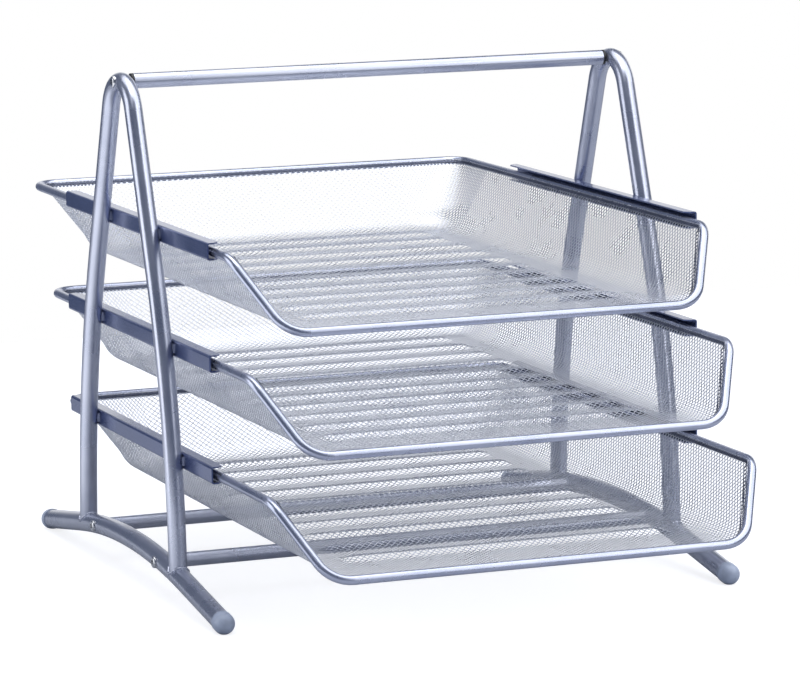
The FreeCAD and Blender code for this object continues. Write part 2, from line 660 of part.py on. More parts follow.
def make_rim(tier, solid):
    """Make one tray's rim at its tier."""
    rim = DOCUMENT.addObject("Part::Feature", f"{tier}_tray_rim")
    rim.Label = f"{tier}_tray_rim"
    rim.Shape = solid
    place_tray_piece(rim, tier)
    return rim


def place_tray_piece(item, tier):
    """Place a piece of a tray at its tier, pulled forward as it stands at rest."""
    height, pull = TIERS[tier]
    bind(item, {
        "Placement.Base.y": f"Sizes.stand_offset - {pull}",
        "Placement.Base.z": height,
    })


def tub_sketch(name, height, half_width, rear, radius):
    """Return a rounded rectangle that is one level of the tray's flared tub."""
    sketch = DOCUMENT.addObject("Sketcher::SketchObject", name)
    sketch.setExpression("Placement.Base.z", height)
    right = value_of(half_width)
    back = value_of(rear)
    front_edge = f"-(Sizes.tray_front + {FRONT_ALLOWANCE})"
    front = value_of(front_edge)
    bend = value_of(radius)
    centres = [(right - bend, back - bend), (bend - right, back - bend),
               (bend - right, front + bend), (right - bend, front + bend)]
    for index, (across, up) in enumerate(centres):
        turn = index * math.pi / 2
        circle = Part.Circle(Vector(across, up, 0), Vector(0, 0, 1), bend)
        sketch.addGeometry(Part.ArcOfCircle(circle, turn, turn + math.pi / 2))
    for index, (start, end) in enumerate((
            (Vector(right - bend, back, 0), Vector(bend - right, back, 0)),
            (Vector(-right, back - bend, 0), Vector(-right, front + bend, 0)),
            (Vector(bend - right, front, 0), Vector(right - bend, front, 0)),
            (Vector(right, front + bend, 0), Vector(right, back - bend, 0)))):
        line = sketch.addGeometry(Part.LineSegment(start, end))
        tie(sketch, "Tangent", index, 2, line, 1)
        tie(sketch, "Tangent", line, 2, (index + 1) % 4, 1)
        if index:
            tie(sketch, "Vertical" if index % 2 else "Horizontal", line)
            tie(sketch, "Equal", 0, index)
    tie(sketch, "Symmetric", 4, 1, 4, 2, -2)
    dimension(sketch, "Radius", (0,), radius)
    dimension(sketch, "DistanceX", (-1, 1, 7, 1), half_width)
    dimension(sketch, "DistanceY", (-1, 1, 4, 1), rear)
    dimension(sketch, "DistanceY", (-1, 1, 6, 1), front_edge)
    return sketch


BASKET_FLOOR = "-(Sizes.front_drop + Sizes.basket_sheet / 2)"
BASKET_TOP_HALF = f"({RIM_REACH} - {RIM_RADIUS} + Sizes.basket_bite)"
BASKET_TOP_REAR = f"(Sizes.tray_rear - {RIM_RADIUS} + Sizes.basket_bite)"
BASKET_TOP_RADIUS = f"(Sizes.rim_rear_radius - {RIM_RADIUS} + Sizes.basket_bite)"


def wall_inset(flare):
    """Return the expression of how far a flared wall's inner face is set in at one level."""
    rate = f"({flare} / Sizes.front_drop)"
    return f"Sizes.basket_sheet * (sqrt(1 + {rate} ^ 2) - {rate})"


def form_tub(name, floor, floor_size, top, top_size, edge_radius):
    """Return a flared tub between two outlines, each given by half width, rear and radius."""
    walls = DOCUMENT.addObject("Part::Loft", f"{name}_walls")
    walls.Sections = [tub_sketch(f"{name}_floor", floor, *floor_size),
                      tub_sketch(f"{name}_top", top, *top_size)]
    walls.Solid = True
    DOCUMENT.recompute()
    tub = DOCUMENT.addObject("Part::Fillet", name)
    tub.Base = walls
    radius = value_of(edge_radius)
    tub.Edges = [(number, radius, radius) for number in edges_at_height(walls, value_of(floor))]
    return tub


def make_basket_blank():
    """Return a tray's basket in the tray's own frame: a drawn tub of mesh with a ribbed floor."""
    floor_half = f"({BASKET_TOP_HALF} - Sizes.side_flare)"
    floor_rear = f"({BASKET_TOP_REAR} - Sizes.rear_flare)"
    side_inset = wall_inset("Sizes.side_flare")
    rear_inset = wall_inset("Sizes.rear_flare")
    drawn = DOCUMENT.addObject("Part::Cut", "tray_drawing")
    drawn.Base = form_tub(
        "tray_outside", BASKET_FLOOR, (floor_half, floor_rear, "Sizes.floor_corner_radius"),
        "Sizes.basket_lip", (BASKET_TOP_HALF, BASKET_TOP_REAR, BASKET_TOP_RADIUS),
        "Sizes.floor_edge_radius")
    drawn.Tool = form_tub(
        "tray_inside", f"{BASKET_FLOOR} + Sizes.basket_sheet",
        (f"{floor_half} - {side_inset}", f"{floor_rear} - {rear_inset}",
         "Sizes.floor_corner_radius - Sizes.basket_sheet"),
        "Sizes.basket_lip + Sizes.basket_sheet",
        (f"{BASKET_TOP_HALF} - {side_inset}", f"{BASKET_TOP_REAR} - {rear_inset}",
         f"{BASKET_TOP_RADIUS} - {side_inset}"),
        "Sizes.floor_edge_radius - Sizes.basket_sheet")
    body = new_body("tray_basket_blank")
    body.BaseFeature = drawn
    trim_front(body)
    press_ribs(body)
    cut_gaps(body)
    return body


def trim_front(body):
    """Trim the tub along the slope from the rim's shoulders down to its front."""
    run = "(Sizes.tray_front - Sizes.tray_shoulder)"
    low = "(Sizes.front_drop * 2)"
    high = "(Sizes.front_drop / 2)"
    far = f"-(Sizes.tray_front + 3 * {FRONT_ALLOWANCE})"
    slope = polygon_sketch(body, "YZ_Plane", "slope", [
        (f"-Sizes.tray_shoulder + {run} * {high} / Sizes.front_drop", high),
        (f"-Sizes.tray_shoulder - {run} * {low} / Sizes.front_drop", f"-{low}"),
        (far, f"-{low}"),
        (far, high),
    ])
    pocket(body, slope, "slope_cut", midplane=True)


def press_ribs(body):
    """Press a row of round-backed ribs up into the floor, each hollow underneath."""
    floor_top = f"({BASKET_FLOOR} + Sizes.basket_sheet)"
    radius = "((Sizes.rib_width ^ 2 / 4 + Sizes.rib_height ^ 2) / (2 * Sizes.rib_height))"
    centre = f"({floor_top} + Sizes.rib_height - {radius})"
    length = f"2 * ({BASKET_TOP_HALF} - Sizes.side_flare - Sizes.rib_margin)"
    span = "(Sizes.rib_count - 1) * Sizes.rib_pitch"
    ridge = segment_sketch(body, "ridge", centre, radius, f"{floor_top} - Sizes.basket_sheet / 2")
    crest = pad(body, ridge, "ridge_pad", length, midplane=True)
    row(body, [crest], "ridge_row", "Y_Axis", span, "Sizes.rib_count", reverse=True)
    groove = segment_sketch(body, "groove", centre, f"({radius} - Sizes.basket_sheet)",
                            f"{BASKET_FLOOR} - Sizes.basket_sheet / 4")
    trough = pocket(body, groove, "groove_cut", f"{length} - 2 * Sizes.basket_sheet", midplane=True)
    row(body, [trough], "groove_row", "Y_Axis", span, "Sizes.rib_count", reverse=True)


def cut_gaps(body):
    """Cut the mesh's gaps: rows between and on the ribs, one along each side, one at the rear."""
    first = "-(Sizes.floor_gap_count - 1) * Sizes.gap_pitch / 2"
    across = "(Sizes.floor_gap_count - 1) * Sizes.gap_pitch"
    along = "(Sizes.rib_count - 1) * Sizes.rib_pitch"
    for name, back, width in (
            ("floor", "Sizes.first_rib - Sizes.rib_pitch / 2", "Sizes.floor_gap_width"),
            ("crest", "Sizes.first_rib", "Sizes.crest_gap_width")):
        gap = gap_sketch(body, "XY_Plane", f"{name}_gap", first, back, width)
        net = row(body, [pocket(body, gap, f"{name}_gap_cut", midplane=True)], f"{name}_net",
                  "X_Axis", across, "Sizes.floor_gap_count")
        net.Direction2 = (plane(body, "Y_Axis"), [""])
        net.Reversed2 = True
        net.setExpression("Length2", along)
        net.setExpression("Occurrences2", "Sizes.rib_count")
    side = gap_sketch(body, "YZ_Plane", "side_gap", "Sizes.first_side_gap",
                      "-Sizes.wall_gap_depth", "Sizes.wall_gap_height")
    row(body, [pocket(body, side, "side_gap_cut", midplane=True)], "side_net", "Y_Axis",
        "(Sizes.side_gap_count - 1) * Sizes.gap_pitch", "Sizes.side_gap_count", reverse=True)
    rear = gap_sketch(body, "XZ_Plane", "rear_gap", first, "-Sizes.wall_gap_depth",
                      "Sizes.wall_gap_height")
    row(body, [pocket(body, rear, "rear_gap_cut")], "rear_net", "X_Axis", across,
        "Sizes.floor_gap_count")


def gap_sketch(body, role, name, across, up, width):
    """Return a long hexagon, the outline of a gap in the mesh, with its middle at across and up."""
    half = "Sizes.gap_length / 2"
    shoulder = f"({half} - Sizes.gap_tip)"
    return polygon_sketch(body, role, name, [
        (f"{across} - {half}", up),
        (f"{across} - {shoulder}", f"{up} - {width} / 2"),
        (f"{across} + {shoulder}", f"{up} - {width} / 2"),
        (f"{across} + {half}", up),
        (f"{across} + {shoulder}", f"{up} + {width} / 2"),
        (f"{across} - {shoulder}", f"{up} + {width} / 2"),
    ])


def segment_sketch(body, name, centre, radius, base):
    """Return a circular segment over a flat base, at the rearmost rib."""
    sketch = new_sketch(body, "YZ_Plane", name)
    middle = Vector(value_of("Sizes.first_rib"), value_of(centre), 0)
    size = value_of(radius)
    half = math.acos((value_of(base) - middle.y) / size)
    circle = Part.Circle(middle, Vector(0, 0, 1), size)
    arc = sketch.addGeometry(Part.ArcOfCircle(circle, math.pi / 2 - half, math.pi / 2 + half))
    reach = Vector(size * math.sin(half), size * math.cos(half), 0)
    chord = sketch.addGeometry(Part.LineSegment(
        middle + Vector(-reach.x, reach.y, 0), middle + reach))
    tie(sketch, "Coincident", arc, 2, chord, 1)
    tie(sketch, "Coincident", arc, 1, chord, 2)
    tie(sketch, "Horizontal", chord)
    dimension(sketch, "Radius", (arc,), radius)
    place_point(sketch, arc, 3, "Sizes.first_rib", centre)
    dimension(sketch, "DistanceY", (-1, 1, chord, 1), base)
    return sketch


def make_basket(tier, template):
    """Make one tray's basket from the trimmed template that all of the trays share."""
    basket = new_body(f"{tier}_tray_basket")
    basket.BaseFeature = template
    place_tray_piece(basket, tier)
    return basket


def make_stand():
    """Make the sub-parts of the stand and return them."""
    parts = []
    for side in SIDES:
        parts.append(make_side_frame(side))
        parts.append(make_foot_tube(side))
        parts.extend(make_foot_cap(end, side) for end in ("front", "rear"))
        parts.extend(make_rail(side, tier) for tier in TIERS)
    handle = ("Sizes.handle_diameter", "Sizes.handle_wall", LEG_RADIUS, "0", "Sizes.apex_height")
    parts.append(make_bar("handle_bar", *handle))
    parts.extend(make_plug(f"{side}_handle_plug", side, *handle) for side in SIDES)
    for end, sign in (("front", -1), ("rear", 1)):
        bar = ("Sizes.cross_bar_diameter", "Sizes.cross_bar_wall", FOOT_RADIUS,
               f"{sign} * Sizes.cross_bar_reach", CROSS_BAR_HEIGHT)
        parts.append(make_bar(f"{end}_cross_bar", *bar))
        parts.extend(make_plug(f"{end}_{side}_cross_bar_plug", side, *bar) for side in SIDES)
    apex = value_of("Sizes.apex_height")
    parts.append(make_screws("handle_screws", LEG_RADIUS, "Sizes.leg_diameter",
                             [(sign, 0, apex) for sign in SIDES.values()]))
    reach = value_of("Sizes.cross_bar_reach")
    low = value_of(CROSS_BAR_HEIGHT)
    parts.append(make_screws("foot_screws", FOOT_RADIUS, "Sizes.foot_diameter",
                             [(sign, end * reach, low) for sign in SIDES.values() for end in (-1, 1)]))
    DOCUMENT.recompute()
    parts.extend(make_rail_welds(side, DOCUMENT.getObject(f"{side}_side_frame")) for side in SIDES)
    return parts


def make_trays():
    """Make the rim and the basket of each tray and return them."""
    solid = rim_solid()
    rim = DOCUMENT.addObject("Part::Feature", "tray_rim_blank")
    rim.Shape = solid
    template = DOCUMENT.addObject("Part::Cut", "tray_basket_template")
    template.Base = make_basket_blank()
    template.Tool = rim
    parts = []
    for tier in TIERS:
        parts.append(make_rim(tier, solid))
        parts.append(make_basket(tier, template))
    return parts


def check(parts):
    """Stop with a message if any object of the document failed or any sub-part is unsound."""
    failed = [item.Name for item in DOCUMENT.Objects
              if "Invalid" in item.State or "Error" in item.State]
    if failed:
        raise RuntimeError(f"failed objects: {', '.join(failed)}")
    for part in parts:
        if part.Shape.isNull() or not part.Shape.isValid():
            raise RuntimeError(f"{part.Label} has no valid shape")


def main():
    """Build the letter tray stack and write each sub-part to its file."""
    parts = make_stand() + make_trays()
    DOCUMENT.recompute()
    check(parts)
    os.makedirs("parts", exist_ok=True)
    for part in parts:
        part.Shape.exportStep(f"parts/{part.Label}.step")
        print(f"{part.Label}: {part.Shape.Volume:.1f} mm3 in {len(part.Shape.Solids)} solid(s)")


main()
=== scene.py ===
"""The looks of a letter tray stack: a tubular A-frame stand and three mesh trays that slide in it.

Sizes are in millimetres unless a name says otherwise; Blender's own unit is the metre.
The front, where the trays pull out, faces -Y.
"""
import logging
import math
from dataclasses import dataclass
from enum import Enum
from typing import Callable, Iterable, Optional, Sequence

import bmesh
import bpy
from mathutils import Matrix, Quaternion, Vector


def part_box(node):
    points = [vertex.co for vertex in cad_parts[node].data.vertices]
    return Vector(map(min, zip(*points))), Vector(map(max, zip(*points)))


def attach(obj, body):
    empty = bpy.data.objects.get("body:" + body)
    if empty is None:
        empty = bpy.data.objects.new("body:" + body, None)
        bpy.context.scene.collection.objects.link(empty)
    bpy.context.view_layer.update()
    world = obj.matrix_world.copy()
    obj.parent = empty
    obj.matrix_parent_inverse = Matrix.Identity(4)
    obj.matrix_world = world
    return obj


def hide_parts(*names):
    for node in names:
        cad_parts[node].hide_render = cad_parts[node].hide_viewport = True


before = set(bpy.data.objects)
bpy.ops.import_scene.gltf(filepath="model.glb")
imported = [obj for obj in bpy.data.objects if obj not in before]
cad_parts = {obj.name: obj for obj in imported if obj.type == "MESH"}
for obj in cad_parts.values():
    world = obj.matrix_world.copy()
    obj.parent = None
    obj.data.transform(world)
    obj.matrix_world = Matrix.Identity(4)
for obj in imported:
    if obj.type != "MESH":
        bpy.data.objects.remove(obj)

LOG = logging.getLogger("letter_tray_stack")
MM = 0.001
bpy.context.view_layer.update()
WHITE = "FFFFFF"
# the lamps are turned towards the middle of the object, in metres
AIM_POINT = (0, 0, 0.14)


class Tier(Enum):
    """The three trays, by their place in the stand."""

    TOP = "top"
    MIDDLE = "middle"
    BOTTOM = "bottom"


class Side(Enum):
    """The stand's two sides, with the sign of their X."""

    LEFT = -1
    RIGHT = 1

    @property
    def word(self) -> str:
        """The side's name in the CAD nodes."""
        return self.name.lower()


class End(Enum):
    """The stand's two ends, with the sign of their Y."""

    FRONT = -1
    REAR = 1

    @property
    def word(self) -> str:
        """The end's name in the CAD nodes."""
        return self.name.lower()


# Small helpers


def colour(code: str) -> tuple[float, float, float, float]:
    """Turn an sRGB hex value into Blender's linear colour.

    Args:
        code: Six hex digits.

    Returns:
        Linear red, green, blue and alpha.
    """
    parts = [int(code[i:i + 2], 16) / 255 for i in (0, 2, 4)]
    linear = [c / 12.92 if c <= 0.04045 else ((c + 0.055) / 1.055) ** 2.4 for c in parts]
    return (linear[0], linear[1], linear[2], 1.0)


def add_node(tree: bpy.types.NodeTree, kind: str, settings: Optional[dict] = None,
             inputs: Optional[dict] = None) -> bpy.types.Node:
    """Add a node with its settings and its inputs.

    Args:
        tree: The node tree that gets it.
        kind: The node's Blender type.
        settings: Properties of the node itself.
        inputs: Socket name or number to a value, or to an output socket to link from.

    Returns:
        The new node.
    """
    node = tree.nodes.new(kind)
    for name, value in (settings or {}).items():
        setattr(node, name, value)
    for key, value in (inputs or {}).items():
        if isinstance(value, bpy.types.NodeSocket):
            tree.links.new(value, node.inputs[key])
        else:
            node.inputs[key].default_value = value
    return node


def ramp_between(node: bpy.types.Node, stops: Sequence[tuple[float, tuple]]) -> bpy.types.Node:
    """Set a colour ramp's stops.

    Args:
        node: The ramp node.
        stops: Position and colour of each stop, in order.

    Returns:
        The same node.
    """
    band = node.color_ramp
    while len(band.elements) > len(stops):
        band.elements.remove(band.elements[-1])
    while len(band.elements) < len(stops):
        band.elements.new(1.0)
    for element, (place, shade) in zip(band.elements, stops):
        element.position = place
        element.color = shade
    return node


def start_material(name: str) -> tuple[bpy.types.Material, bpy.types.NodeTree]:
    """Make a material with an empty node tree.

    Args:
        name: The material's name.

    Returns:
        The material and its tree.
    """
    made = bpy.data.materials.new(name)
    made.use_nodes = True
    made.node_tree.nodes.clear()
    return made, made.node_tree


def fade_within(tree: bpy.types.NodeTree, amount: bpy.types.NodeSocket, axes: bpy.types.Node,
                edges: Sequence[tuple[str, float, float]]) -> bpy.types.NodeSocket:
    """Fade an amount out softly past a set of edges.

    Args:
        tree: The node tree.
        amount: The amount to fade.
        axes: A node that splits the place or direction into X, Y and Z.
        edges: For each edge its axis, where the amount is none and where it is whole.

    Returns:
        The faded amount.
    """
    for axis, none, whole in edges:
        edge = add_node(tree, "ShaderNodeMapRange", {"interpolation_type": "SMOOTHSTEP"}, {
            "Value": axes.outputs[axis], "From Min": none, "From Max": whole})
        amount = add_node(tree, "ShaderNodeMath", {"operation": "MULTIPLY"}, {
            0: amount, 1: edge.outputs["Result"]}).outputs[0]
    return amount


def start_clean() -> None:
    """Leave edit mode and deselect everything."""
    if bpy.context.mode != "OBJECT":
        bpy.ops.object.mode_set(mode="OBJECT")
    bpy.ops.object.select_all(action="DESELECT")


def take(piece: bpy.types.Object) -> None:
    """Make a piece the only selected and the active object.

    Args:
        piece: The object to take.
    """
    start_clean()
    piece.select_set(True)
    bpy.context.view_layer.objects.active = piece


def settle(piece: bpy.types.Object) -> None:
    """Move a piece's place, turn and scale into its mesh.

    Args:
        piece: The object to settle.
    """
    take(piece)
    bpy.ops.object.transform_apply(location=True, rotation=True, scale=True)


def select_where(piece: bpy.types.Object, test: Callable[[bmesh.types.BMFace], bool]) -> None:
    """Select the faces that pass a test, in edit mode.

    Args:
        piece: A mesh object in edit mode.
        test: Says whether a face is selected.
    """
    bpy.ops.mesh.select_mode(type="FACE")
    bpy.ops.mesh.select_all(action="DESELECT")
    mesh = bmesh.from_edit_mesh(piece.data)
    for face in mesh.faces:
        face.select_set(test(face))
    bmesh.update_edit_mesh(piece.data)


def select_edges(piece: bpy.types.Object, test: Callable[[bmesh.types.BMEdge], bool]) -> None:
    """Select the edges that pass a test, in edit mode.

    Args:
        piece: A mesh object in edit mode.
        test: Says whether an edge is selected.
    """
    bpy.ops.mesh.select_mode(type="EDGE")
    bpy.ops.mesh.select_all(action="DESELECT")
    mesh = bmesh.from_edit_mesh(piece.data)
    for edge in mesh.edges:
        edge.select_set(test(edge))
    bmesh.update_edit_mesh(piece.data)


def apply_modifier(piece: bpy.types.Object, kind: str, **settings: object) -> None:
    """Add a modifier to a piece and apply it.

    Args:
        piece: The object that gets it.
        kind: The modifier's type.
        **settings: The modifier's properties.
    """
    take(piece)
    modifier = piece.modifiers.new(kind.lower(), kind)
    for name, value in settings.items():
        setattr(modifier, name, value)
    bpy.ops.object.modifier_apply(modifier=modifier.name)


def dress(piece: bpy.types.Object, material: bpy.types.Material) -> None:
    """Give a piece one material for all of its faces.

    Args:
        piece: The object to dress.
        material: The material.
    """
    piece.data.materials.clear()
    piece.data.materials.append(material)


def finish_piece(piece: bpy.types.Object, material: bpy.types.Material, body: str,
                 stands_for: Iterable[str] = (), smooth_deg: float = 35.0) -> None:
    """Settle, shade, dress and attach a modelled piece.

    Args:
        piece: The object.
        material: Its material.
        body: The CAD body that it rides on.
        stands_for: CAD nodes that it replaces.
        smooth_deg: Edges flatter than this are shaded smooth.
    """
    settle(piece)
    bpy.ops.object.shade_smooth_by_angle(angle=math.radians(smooth_deg))
    dress(piece, material)
    for node in stands_for:
        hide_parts(node)
    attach(piece, body)
    LOG.info("%s: %d faces on %s", piece.name, len(piece.data.polygons), body)


def dress_node(node: str, material: bpy.types.Material) -> None:
    """Give a CAD node that stays its finish.

    Args:
        node: The node's name.
        material: Its material.
    """
    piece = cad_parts[node]
    if not piece.material_slots:
        take(piece)
        bpy.ops.object.material_slot_add()
    for place in piece.material_slots:
        place.material = material
    LOG.info("%s: CAD node dressed in %s", node, material.name)


# Finishes


@dataclass(frozen=True)
class SilverPaint:
    """Silver powder coat on steel: bluish flake under clear, which mirrors lamps in soft bands."""

    name: str
    base: str
    shade: str
    metallic: float = 0.92
    roughness: float = 0.23
    coat: float = 0.3
    coat_roughness: float = 0.2
    peel_height_mm: float = 0.02
    peel_mm: float = 1.8
    peel_strength: float = 0.3
    flake_mm: float = 0.3
    flake_share: float = 0.35
    cloud_mm: float = 30.0
    gloss_spread: tuple[float, float] = (0.03, 0.04)

    def material(self) -> bpy.types.Material:
        """Build the material.

        Returns:
            The node material.
        """
        made, tree = start_material(self.name)
        place = add_node(tree, "ShaderNodeTexCoord")
        # real flake is some 0.03 mm; drawn ten times as coarse, it still breaks the gloss
        flake = add_node(tree, "ShaderNodeTexNoise", inputs={
            "Vector": place.outputs["Object"], "Scale": 1000 / self.flake_mm, "Detail": 1.0})
        cloud = add_node(tree, "ShaderNodeTexNoise", inputs={
            "Vector": place.outputs["Object"], "Scale": 1000 / self.cloud_mm, "Detail": 3.0})
        mottled = add_node(tree, "ShaderNodeMath", {"operation": "MULTIPLY_ADD"}, {
            0: flake.outputs["Fac"], 1: self.flake_share, 2: cloud.outputs["Fac"]})
        tone = ramp_between(add_node(tree, "ShaderNodeValToRGB", inputs={
            "Fac": mottled.outputs[0]}), [(0.45, colour(self.shade)), (0.85, colour(self.base))])
        gloss = add_node(tree, "ShaderNodeMapRange", inputs={
            "Value": cloud.outputs["Fac"], "From Min": 0.3, "From Max": 0.7,
            "To Min": self.roughness - self.gloss_spread[0],
            "To Max": self.roughness + self.gloss_spread[1]})
        peel = add_node(tree, "ShaderNodeTexNoise", inputs={
            "Vector": place.outputs["Object"], "Scale": 1000 / self.peel_mm, "Detail": 2.0})
        relief = add_node(tree, "ShaderNodeBump", inputs={
            "Strength": self.peel_strength, "Distance": self.peel_height_mm * MM,
            "Height": peel.outputs["Fac"]})
        paint = add_node(tree, "ShaderNodeBsdfPrincipled", inputs={
            "Base Color": tone.outputs["Color"], "Metallic": self.metallic,
            "Roughness": gloss.outputs["Result"], "Normal": relief.outputs["Normal"],
            "Coat Weight": self.coat, "Coat Roughness": self.coat_roughness})
        add_node(tree, "ShaderNodeOutputMaterial", inputs={"Surface": paint.outputs["BSDF"]})
        return made


@dataclass(frozen=True)
class MouldedPlastic:
    """Injection-moulded polyethylene or nylon: a soft sheen over a fine moulded grain."""

    name: str
    base: str
    roughness: float
    grain_mm: float = 0.4
    grain_height_mm: float = 0.02
    grain_strength: float = 0.3
    worn_mm: float = 6.0
    worn_gain: float = 1.3
    worn_lift: float = 0.01

    def material(self) -> bpy.types.Material:
        """Build the material.

        Returns:
            The node material.
        """
        made, tree = start_material(self.name)
        place = add_node(tree, "ShaderNodeTexCoord")
        grain = add_node(tree, "ShaderNodeTexNoise", inputs={
            "Vector": place.outputs["Object"], "Scale": 1000 / self.grain_mm, "Detail": 2.0})
        worn = add_node(tree, "ShaderNodeTexNoise", inputs={
            "Vector": place.outputs["Object"], "Scale": 1000 / self.worn_mm, "Detail": 2.0})
        base = colour(self.base)
        lighter = (*[min(1.0, c * self.worn_gain + self.worn_lift) for c in base[:3]], 1.0)
        tone = ramp_between(add_node(tree, "ShaderNodeValToRGB", inputs={
            "Fac": worn.outputs["Fac"]}), [(0.35, base), (0.8, lighter)])
        relief = add_node(tree, "ShaderNodeBump", inputs={
            "Strength": self.grain_strength, "Distance": self.grain_height_mm * MM,
            "Height": grain.outputs["Fac"]})
        plastic = add_node(tree, "ShaderNodeBsdfPrincipled", inputs={
            "Base Color": tone.outputs["Color"], "Roughness": self.roughness, "IOR": 1.5,
            "Normal": relief.outputs["Normal"]})
        add_node(tree, "ShaderNodeOutputMaterial", inputs={"Surface": plastic.outputs["BSDF"]})
        return made


@dataclass(frozen=True)
class ZincPlate:
    """Bright zinc plate on a pressed steel screw: sharp glints, broken up by fine scuffs."""

    name: str = "bright_zinc_plate"
    base: str = "D9DADC"
    roughness: float = 0.24
    scuff_mm: float = 0.5
    gloss_spread: tuple[float, float] = (0.08, 0.1)

    def material(self) -> bpy.types.Material:
        """Build the material.

        Returns:
            The node material.
        """
        made, tree = start_material(self.name)
        place = add_node(tree, "ShaderNodeTexCoord")
        scuff = add_node(tree, "ShaderNodeTexNoise", inputs={
            "Vector": place.outputs["Object"], "Scale": 1000 / self.scuff_mm, "Detail": 4.0})
        gloss = add_node(tree, "ShaderNodeMapRange", inputs={
            "Value": scuff.outputs["Fac"], "To Min": self.roughness - self.gloss_spread[0],
            "To Max": self.roughness + self.gloss_spread[1]})
        metal = add_node(tree, "ShaderNodeBsdfPrincipled", inputs={
            "Base Color": colour(self.base), "Metallic": 1.0, "Roughness": gloss.outputs["Result"]})
        add_node(tree, "ShaderNodeOutputMaterial", inputs={"Surface": metal.outputs["BSDF"]})
        return made


@dataclass
class Palette:
    """The object's finishes, each built once."""

    tube: bpy.types.Material
    rail: bpy.types.Material
    rim: bpy.types.Material
    mesh: bpy.types.Material
    fold: bpy.types.Material
    black: bpy.types.Material
    grey: bpy.types.Material
    zinc: bpy.types.Material

    @classmethod
    def build(cls) -> "Palette":
        """Build every finish.

        Returns:
            The palette.
        """
        return cls(
            tube=SilverPaint("silver_powder_coat_tube", "CCD0DE", "BABFD0",
                             roughness=0.28).material(),
            # the channels get a darker blue-grey than the tubes: painted shade, standing in for the
            # dark room that their flat faces under clear mirror
            rail=SilverPaint("slate_powder_coat_channel", "5C6A97", "505E8A", metallic=0.6,
                             roughness=0.22, coat=0.6).material(),
            rim=SilverPaint("silver_powder_coat_wire", "C4C9DC", "B0B7CC",
                            roughness=0.26).material(),
            # the coat on the strands is thin and even, so they are paler and have no peel
            mesh=SilverPaint("silver_powder_coat_mesh", "E6E9F1", "D7DBE6", metallic=0.88,
                             roughness=0.28, peel_height_mm=0.0).material(),
            # the folded edge is two layers thick; its darker colour is painted shade, for the
            # wire's shade that it lies in
            fold=SilverPaint("silver_powder_coat_fold", "5E6478", "4B5164", metallic=0.8,
                             roughness=0.36, peel_height_mm=0.0).material(),
            black=MouldedPlastic("black_moulded_nylon", "17181B", 0.42).material(),
            grey=MouldedPlastic("grey_moulded_polyethylene", "99A3B8", 0.34).material(),
            zinc=ZincPlate().material(),
        )


# The studio


@dataclass(frozen=True)
class Softbox:
    """A flat lamp with an even face, turned towards the object's middle."""

    name: str
    spot: tuple[float, float, float]
    wide: float
    high: float
    radiance: float

    def hang(self) -> None:
        """Add the lamp; its power follows from its face and from how bright that looks."""
        start_clean()
        bpy.ops.object.light_add(type="AREA", location=self.spot)
        lamp = bpy.context.object
        lamp.name = self.name
        lamp.visible_camera = False
        lamp.data.shape = "RECTANGLE"
        lamp.data.size = self.wide
        lamp.data.size_y = self.high
        lamp.data.energy = self.radiance * math.pi * self.wide * self.high
        aim = Vector(AIM_POINT) - Vector(self.spot)
        lamp.rotation_mode = "QUATERNION"
        lamp.rotation_quaternion = aim.to_track_quat("-Z", "Y")


